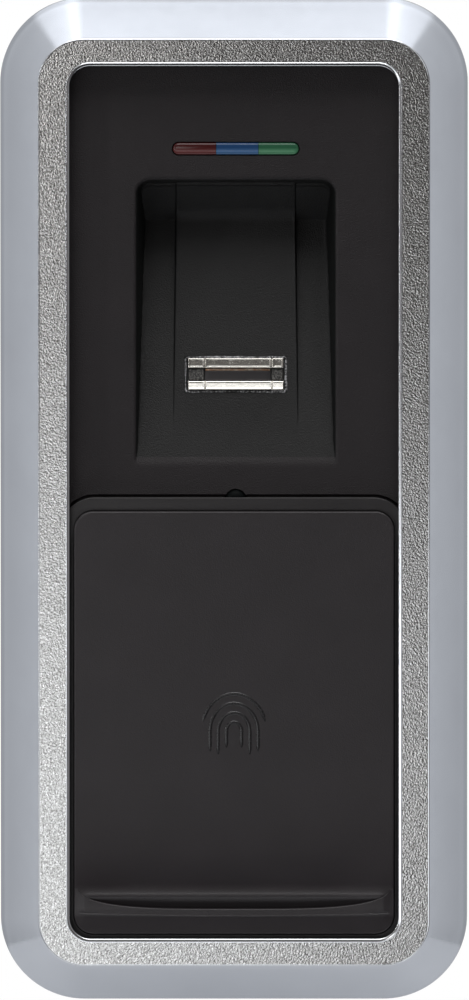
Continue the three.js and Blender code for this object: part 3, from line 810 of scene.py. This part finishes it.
def make_sealant():
    """A ragged bead of sealant round the aperture."""
    generator = random.Random(11)
    outline = rounded_rect(7.3, 2.53, 0.35, 10)
    spacing, size = 0.22, 0.1
    smallest, largest, change = 0.05, 0.17, 0.035
    dense = []
    for (x0, a0), (x1, a1) in zip(outline, outline[1:] + outline[:1]):
        steps = max(1, round(math.hypot(x1 - x0, a1 - a0) / spacing))
        dense += [(x0 + (x1 - x0) * s / steps, a0 + (a1 - a0) * s / steps) for s in range(steps)]
    rings = []
    for k, (x, along) in enumerate(dense):
        side = across(dense[k - 1], dense[(k + 1) % len(dense)])
        size = min(largest, max(smallest, size + generator.uniform(-change, change)))
        rings.append([
            in_sensor(
                x + side.x * size * 1.3 * math.cos(angle),
                along + side.y * size * 1.3 * math.cos(angle),
                -0.02 + size * 0.75 * math.sin(angle),
            )
            for angle in (2 * math.pi * step / 8 for step in range(8))
        ])
    bead = loft("sensor_sealant", rings, [sealant], closed=True, sharp=math.radians(80))
    own(bead, "case", "sensor_potting")


# ---- Slide ----

COVER_HALF, COVER_LOW, COVER_HIGH, COVER_CORNER = COVER = (23.25, -62.8, -1.26, 2.8)
POCKET_HALF, POCKET_END, POCKET_SAG = 22.6, -56.2, 2.95
DIP_START, CREST_START, CREST_UP, CREST_RAISE = -50.3, -55.8, -57.35, 0.42
DIP_CURVE, SWELL_CURVE, SCOOP_SLOPE, CREST_ROUND = 0.024, 0.2, 0.56, 0.34
LIP_RAISE, LIP_FILLET, LIP_STEP, LIP_SLOPE, COVER_FILLET = 0.33, 0.13, 0.1, 0.15, 0.2
BEAD_RAISE, BEAD_WIDTH, NOTCH_DEPTH, NOTCH_WIDTH = 0.04, 0.07, 0.09, 0.06


def lip_line(x):
    """The sharp upper edge of the lip, a flat smile across the cover."""
    share = np.clip(np.abs(x) / POCKET_HALF, 0, 1)
    return POCKET_END - POCKET_SAG * np.sqrt(np.maximum(1 - share**3.8, 0))


def lower_line(x):
    """The fine bead across the lip's face."""
    return -60.13 + 0.3 * (np.abs(x) / 22.2) ** 2


def cover_height(x, up):
    """How far out of the wall the cover's face is."""
    side = np.abs(x)
    # The face dips, swells to a crest, and then slants down into the pocket behind the lip.
    dip = DIP_CURVE * np.clip(DIP_START - up, 0, 5) ** 2 * smooth_step(23.4, 14.5, side)
    swell = SWELL_CURVE * np.clip(CREST_START - up, 0, 1.9) ** 2
    scoop = SCOOP_SLOPE * (up - CREST_UP) + CREST_RAISE
    ends = smooth_step(POCKET_HALF + 0.5, POCKET_HALF - 1.6, side)
    open_face = smooth_min(swell, scoop, CREST_ROUND) * ends - dip
    # The lip has a fine bead across it, a notch over each end of the bead and a slant below.
    below = lip_line(x) - up
    above_bead = up - lower_line(x)
    raised = LIP_RAISE * smooth_step(23.05, 21.6, side)
    step_down = LIP_STEP * smooth_step(0, 0.14, -above_bead)
    step_down = step_down + LIP_SLOPE * np.clip(-above_bead - LIP_STEP, 0, 2.2)
    bead = BEAD_RAISE * np.exp(-((above_bead / BEAD_WIDTH) ** 2)) * smooth_step(22.9, 22.3, side)
    notch_span = smooth_step(19.6, 20.2, side) * smooth_step(22.6, 22.0, side)
    notch = NOTCH_DEPTH * np.exp(-(((above_bead - 0.13) / NOTCH_WIDTH) ** 2)) * notch_span
    lip = raised * (1 - step_down / LIP_RAISE) + bead - notch
    lip = lip - rounded_edge(below, LIP_FILLET)
    height = np.where(below > -1e-4, lip, open_face)
    edge = inside_distance(x, up, COVER_HALF, COVER_LOW, COVER_HIGH, COVER_CORNER)
    return COVER_FACE + height - rounded_edge(edge, COVER_FILLET)


def make_cover():
    half_columns = [0.0]
    for stop, step in ((18.0, 0.75), (22.9, 0.17), (COVER_HALF, 0.04)):
        while half_columns[-1] < stop - 1e-6:
            half_columns.append(min(stop, half_columns[-1] + step))
    xs = np.array([-x for x in half_columns[:0:-1]] + half_columns)
    flat = np.ones_like(xs)
    lip, lower = lip_line(xs), lower_line(xs)
    anchors = [
        COVER_LOW * flat, COVER_LOW * flat + 0.25, lower - 0.16, lower + 0.22, lip - 0.12, lip,
        lip + 0.03, CREST_START * flat, DIP_START * flat, (COVER_HIGH - COVER_CORNER) * flat,
        (COVER_HIGH - 0.25) * flat, COVER_HIGH * flat,
    ]
    rows = stations(anchors, [6, 12, 14, 6, 6, 1, 46, 10, 18, 14, 6])
    up_grid = np.stack(rows)
    x_grid = np.repeat(xs[None, :], len(rows), axis=0)
    front = cover_height(x_grid, up_grid)
    piece = relief("cover", x_grid, up_grid, front, COVER_BACK, cover_plastic)
    whole_depth = [(0, COVER_BACK - 1), (0, COVER_FACE + 2)]
    carve(piece, [edge_loft("cutter", COVER, whole_depth, [], segments=14)], "INTERSECT")
    own(piece, "slide", "slide_black", "slide_cover")


def make_carrier():
    """The slide's rear plate, with the plunger's groove behind and a channel round the cover."""
    low, high = CARRIER_LOW, CARRIER_HIGH
    levels = plate_levels(
        CARRIER_HALF, (high - low) / 2, CARRIER_CORNER, CARRIER_BACK, CARRIER_FRONT, 0.12, 0.1
    )
    piece = rect_loft("carrier", levels, [carrier_plastic], centre=(0, (low + high) / 2))
    groove = box_cutter(PANEL_X - 1.8, PANEL_X + 1.8, low - 1, high + 1, 29, 31.4)
    section = [(-0.4, 31.55), (0.15, 31.55), (0.15, 33), (-0.4, 33)]
    channel = edge_loft("cutter", COVER, section, [], segments=12, closed=True)
    carve(piece, [groove, channel])
    own(piece, "slide", "slide_black", "slide_carrier")
    make_carrier_rail()


def make_carrier_rail():
    """A thin rail that stands on the carrier around the cover's sides and bottom."""
    foot, top, inner, outer, bevel = 31.9, 33.0, 0.16, 0.30, 0.03
    section = [
        (inner, foot), (outer, foot), (outer, 32.95), (outer - bevel, top), (inner + bevel, top),
        (inner, 32.95),
    ]
    rail = edge_loft("carrier_rail", COVER, section, [carrier_plastic], closed=True)
    carve(rail, [box_cutter(-30, 30, -6, 4, 30, 36)])
    own(rail, "slide", "slide_black")


def arch_points(radius, sweep, leg, centre_up):
    """Points along an arch from left to right, with straight legs if any."""
    half = math.radians(sweep / 2)
    points = []
    if leg:
        points += [(-radius, centre_up - leg * (1 - s / 4)) for s in range(4)]
    for step in range(17):
        angle = math.pi / 2 + half - 2 * half * step / 16
        points.append((radius * math.cos(angle), centre_up + radius * 1.15 * math.sin(angle)))
    if leg:
        points += [(radius, centre_up - leg * s / 4) for s in range(1, 5)]
    return points


def make_mark():
    """A plain fingertip sign of nested arches, raised a hair from the cover."""
    arches = ((1.1, 180, 2.4), (2.3, 180, 3.4), (3.5, 180, 3.0), (4.7, 150, 0))
    section = [(-1, -0.6), (-0.92, 0.25), (-0.6, 0.8), (0, 1), (0.6, 0.8), (0.92, 0.25), (1, -0.6)]
    for number, (radius, sweep, leg) in enumerate(arches, 1):
        points = arch_points(radius, sweep, leg, centre_up=-33.2)
        rings = []
        for k, (x, up) in enumerate(points):
            side = across(points[max(k - 1, 0)], points[min(k + 1, len(points) - 1)])
            end = k in (0, len(points) - 1)
            width, height = (0.1, 0.03) if end else (0.27, 0.12)
            rings.append([
                at(x + side.x * width * a, up + side.y * width * a, COVER_FACE + height * b)
                for a, b in section
            ])
        own(loft(f"mark_arch_{number}", rings, [mark_plastic]), "slide", "slide_black")


# ---- Housing, wall plate and small parts ----

SCREW_AXIS = (0, 8)


def make_housing():
    shell, groove, steps = (33, 72, 11.2), (32.85, 71.85, 11.05), 6
    outer = plate_levels(*shell, 2.3, 20, 0.25, 1.6, steps)
    parting = [(*shell, 16.9), (*groove, 17.0), (*groove, 17.2), (*shell, 17.3)]
    inner = [(31.2, 70.2, 9.4, 20), (*CAVITY, 19.8), (*CAVITY, 4.3)]
    levels = outer[:steps + 1] + parting + outer[steps + 1:] + inner
    piece = rect_loft("housing", levels, [case_plastic], segments=28)
    bore = [(0, -80), (2.9, -80), (2.9, -70.8), (1.4, -70.8), (1.4, -69), (0, -69)]
    carve(piece, [turned("cutter", bore, SCREW_AXIS, [], along="up")])
    own(piece, "case", "case_black", "rear_housing")


def make_wall_plate():
    """A flat plate with two screw slots in shallow recesses, and four fields in its back."""
    low, high = -69, 68
    levels = plate_levels(30, (high - low) / 2, 8, 0, 2, 0.3)
    piece = rect_loft(
        "wall_plate_shell", levels, [case_plastic], centre=(0, (low + high) / 2), segments=24
    )
    cutters = []
    for middle in (46, -46):
        slot_levels = [(2.25, 4, 2.2, out) for out in (-2, 4)]
        cutters.append(rect_loft("cutter", slot_levels, [], centre=(0, middle), segments=10))
        sink = [(5.2, 7, 5.1, -1), (5.2, 7, 5.1, 0.05), (4.6, 6.4, 4.5, 0.65)]
        cutters.append(rect_loft("cutter", sink, [], centre=(0, middle), segments=10))
    field = [(8.5, 24, 2.5, -1), (8.5, 24, 2.5, 0.02), (8.1, 23.6, 2.1, 0.8)]
    for centre in ((-17.5, -35), (-17.5, 35), (17.5, -35), (17.5, 35)):
        cutters.append(rect_loft("cutter", field, [], centre=centre, segments=8))
    carve(piece, cutters)
    own(piece, "case", "case_black", "wall_plate")


def make_detent_spring():
    """The plunger's coil spring, at one fixed length."""
    wire, coil, start, length, turns, press = 0.18, 1.2, 24.5, 3.1, 4, 0.8
    steps, sides = 20 * turns, 8
    rings = []
    for step in range(steps + 1):
        share = step / steps
        angle = 2 * math.pi * turns * share
        ring = []
        for k in range(sides):
            around = 2 * math.pi * k / sides
            radius = coil + wire * math.cos(around)
            ring.append(at(
                PANEL_X + radius * math.cos(angle), DETENT_UP + radius * math.sin(angle),
                start + length * share + wire * math.sin(around),
            ))
        rings.append(ring)
    spring = loft("detent_coil", rings, [steel])
    own(spring, "detent", "steel", "detent_spring")
    front_end = at(PANEL_X, DETENT_UP, start + length + wire)
    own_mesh(spring)


def make_small_parts():
    """The gasket, the fixing screw with its cross recess, and the detent's plunger."""
    outer, inner, back, front = (32.7, 71.7, 10.9), (31.3, 70.3, 9.5), 20.1, 20.7
    ring = [(*outer, back), (*outer, front), (*inner, front), (*inner, back)]
    gasket = rect_loft("gasket", ring, [gasket_rubber], segments=24, closed=True)
    own(gasket, "case", "gasket_rubber", "housing_gasket")
    profile = [
        (0, -71.9), (2.2, -71.9), (2.5, -71.75), (2.6, -71.5), (2.6, -70.95), (1.1, -70.9),
        (1.1, -66.4), (0, -65.8),
    ]
    screw = turned("housing_screw", profile, SCREW_AXIS, [steel], along="up")
    carve(screw, [
        box_cutter(-width, width, -73, -71.2, 8 - depth, 8 + depth)
        for width, depth in ((1.5, 0.3), (0.3, 1.5))
    ])
    own(screw, "case", "steel", "fixing_screw")
    nose = [
        (0, 27.95), (1.7, 27.95), (1.75, 28.05), (1.75, 29.25), (1.45, 29.3), (1.45, 30.35),
        (1.38, 30.6), (1.2, 30.83), (0.9, 31.02), (0.5, 31.14), (0, 31.18),
    ]
    plunger = turned("plunger", nose, (PANEL_X, DETENT_UP), [detent_plastic], 36)
    own(plunger, "detent", "case_black", "detent_plunger")


def dress_inner_nodes():
    """Materials for the CAD pieces that stay as they are."""
    finishes = {
        "led": led_plastic, "sensor_body": component_plastic, "sensor_flex": flex_film,
        "flex_connector": component_plastic, "pcb_main": board, "mcu": component_plastic,
        "radio": nickel, "buzzer": component_plastic, "pcb_screw": steel,
        "battery_spring": steel, "battery_contact": nickel, "battery_door_screw": steel,
        "battery_door": case_plastic, "battery_": battery_jacket, "case_screw": steel,
        "detent_cap": case_plastic,
    }
    for name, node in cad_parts.items():
        for start, material in finishes.items():
            if name.startswith(start):
                node.data.materials.clear()
                node.data.materials.append(material)
                break


# ---- Studio ----


def make_world():
    """A white studio that fades from a bright top to grey sides, seen in the metal."""
    world = bpy.data.worlds.new("studio")
    bpy.context.scene.world = world
    world.use_nodes = True
    tree = world.node_tree
    nodes, links = tree.nodes, tree.links
    nodes.clear()
    direction = nodes.new("ShaderNodeTexCoord").outputs["Generated"]
    axes = split_axes(tree, direction)

    # Behind the terminal: a ring of light by angle round the line of sight.
    angle = nodes.new("ShaderNodeMath")
    angle.operation = "ARCTAN2"
    links.new(axes["X"], angle.inputs[0])
    links.new(axes["Z"], angle.inputs[1])
    turn = map_range(tree, angle.outputs[0], -math.pi, math.pi)
    ring = colour_ramp(tree, turn, mirrored_ring())
    ring = dimmed(tree, ring, axes["Y"], 0.44, 0.30, 0.74)

    # In front: a dark patch around the camera, a pale room, and a softbox overhead.
    flat = vector_math(tree, "MULTIPLY", direction)
    flat.inputs[1].default_value = (1, 0, 1)
    away = vector_math(tree, "DISTANCE", flat.outputs["Vector"])
    away.inputs[1].default_value = (0.14, 0, 0.1)
    room = colour_ramp(tree, away.outputs["Value"], [
        (0.0, (0.020, 0.018, 0.017)), (0.22, (0.030, 0.027, 0.025)), (0.42, (0.13, 0.124, 0.121)),
        (0.55, (0.24, 0.23, 0.235)), (0.76, (0.19, 0.185, 0.19)), (0.92, (0.15, 0.15, 0.155)),
    ])
    room = dimmed(tree, room, axes["Z"], -0.5, 0.0, 0.2)
    softbox = colour_ramp(tree, axes["Z"], [
        (0.60, (0, 0, 0)), (0.74, (1, 1, 1)), (0.90, (1, 1, 1)), (0.97, (0.1, 0.1, 0.1)),
    ])
    before = mixed(tree, softbox, room, (0.95, 0.96, 0.97))

    behind = map_range(tree, axes["Y"], -0.1, 0.14)
    studio = mixed(tree, behind, before, ring)
    camera_ray = nodes.new("ShaderNodeLightPath").outputs["Is Camera Ray"]
    background = nodes.new("ShaderNodeBackground")
    links.new(mixed(tree, camera_ray, studio, (1, 1, 1)), background.inputs["Color"])
    output = nodes.new("ShaderNodeOutputWorld")
    links.new(background.outputs[0], output.inputs[0])


def dimmed(tree, colour, along, start, end, level):
    """The colour, dimmed to the level at start and full from end on."""
    scaled = vector_math(tree, "SCALE", colour)
    tree.links.new(map_range(tree, along, start, end, level), scaled.inputs["Scale"])
    return scaled.outputs["Vector"]


def mirrored_ring():
    """Ramp stops for the light behind the terminal, by angle from straight up: a bright top
    with a white streak to both sides, that ends at 35 degrees in grey sides."""
    right_side = [
        (0, 0.89), (1.5, 0.95), (4, 1.14), (8, 1.42), (12, 1.34), (16, 1.12), (25, 1.02),
        (36, 0.93), (41, 0.53), (55, 0.48), (90, 0.455), (130, 0.42), (180, 0.385),
    ]
    left_side = [
        (angle, level + (0.02 if 55 <= angle < 130 else 0)) for angle, level in right_side[1:]
    ]
    stops = [(0.5 - angle / 360, level) for angle, level in reversed(left_side)]
    stops += [(0.5 + angle / 360, level) for angle, level in right_side]
    return [(place, (level * 0.985, level * 1.02, level * 1.09)) for place, level in stops]


def add_aimed(name, data, place, direction):
    """A light or camera that looks along the direction."""
    made = add_object(name, data)
    made.location = place
    made.rotation_mode = "QUATERNION"
    made.rotation_quaternion = direction.to_track_quat("-Z", "Y")
    return made


def soft_light(name, place, target, size, watts, colour=(1, 1, 1)):
    data = bpy.data.lights.new(name, "AREA")
    data.shape = "RECTANGLE"
    data.size, data.size_y = size
    data.energy = watts
    data.color = colour
    light = add_aimed(name, data, place, Vector(target) - Vector(place))
    light.visible_camera = False


def make_stage():
    """A pale round floor well below the terminal, which hangs as it does on its wall."""
    radius, low = 0.24, -0.165
    bm = bmesh.new()
    bmesh.ops.create_circle(bm, cap_ends=True, radius=radius, segments=96)
    floor_shader = Shader("floor")
    floor_shader.colour_from(floor_shader.noise(60), (0.52, 0.53, 0.55), (0.55, 0.56, 0.58))
    floor_shader.set(Roughness=0.8)
    floor = finish_mesh("floor", bm, [floor_shader.material])
    floor.location = (0, 0.05, low)


CAMERA_DISTANCE, CAMERA_ELEVATION = 2.4, math.radians(3.7)
FRAME_HEIGHT = 145.66 * MM


def make_camera():
    data = bpy.data.cameras.new("camera")
    data.lens = data.sensor_width * CAMERA_DISTANCE / FRAME_HEIGHT
    aim = Vector(at(0.07, -0.05, 26))
    away = Vector((0, -math.cos(CAMERA_ELEVATION), math.sin(CAMERA_ELEVATION)))
    bpy.context.scene.camera = add_aimed("camera", data, aim + away * CAMERA_DISTANCE, -away)


COOL, WARM = (0.985, 1.0, 1.015), (1.02, 1.0, 0.98)

make_camera()
make_world()
make_stage()
soft_light("overhead", (0.0, -0.3, 0.6), (0, -0.25, 0), (0.5, 0.35), 2.2)
soft_light("low_front", (-0.2, -0.46, -0.095), (0, 0, -0.05), (0.48, 0.12), 0.245, COOL)
soft_light("upper_left", (-0.12, -0.5, 0.09), (0, 0, 0.06), (0.09, 0.09), 0.065, WARM)
soft_light("bounce", (0, -0.1, -0.158), (0, -0.07, 0), (0.26, 0.06), 0.03)
soft_light("left_strip", (-0.6, -0.36, 0.12), (0, 0, 0.05), (0.03, 0.4), 0.4)
bpy.context.scene.view_settings.view_transform = "Standard"

make_bezel()
make_panel()
make_lenses()
make_sensor()
make_cover()
make_carrier()
make_mark()
make_housing()
make_wall_plate()
make_detent_spring()
make_small_parts()
dress_inner_nodes()
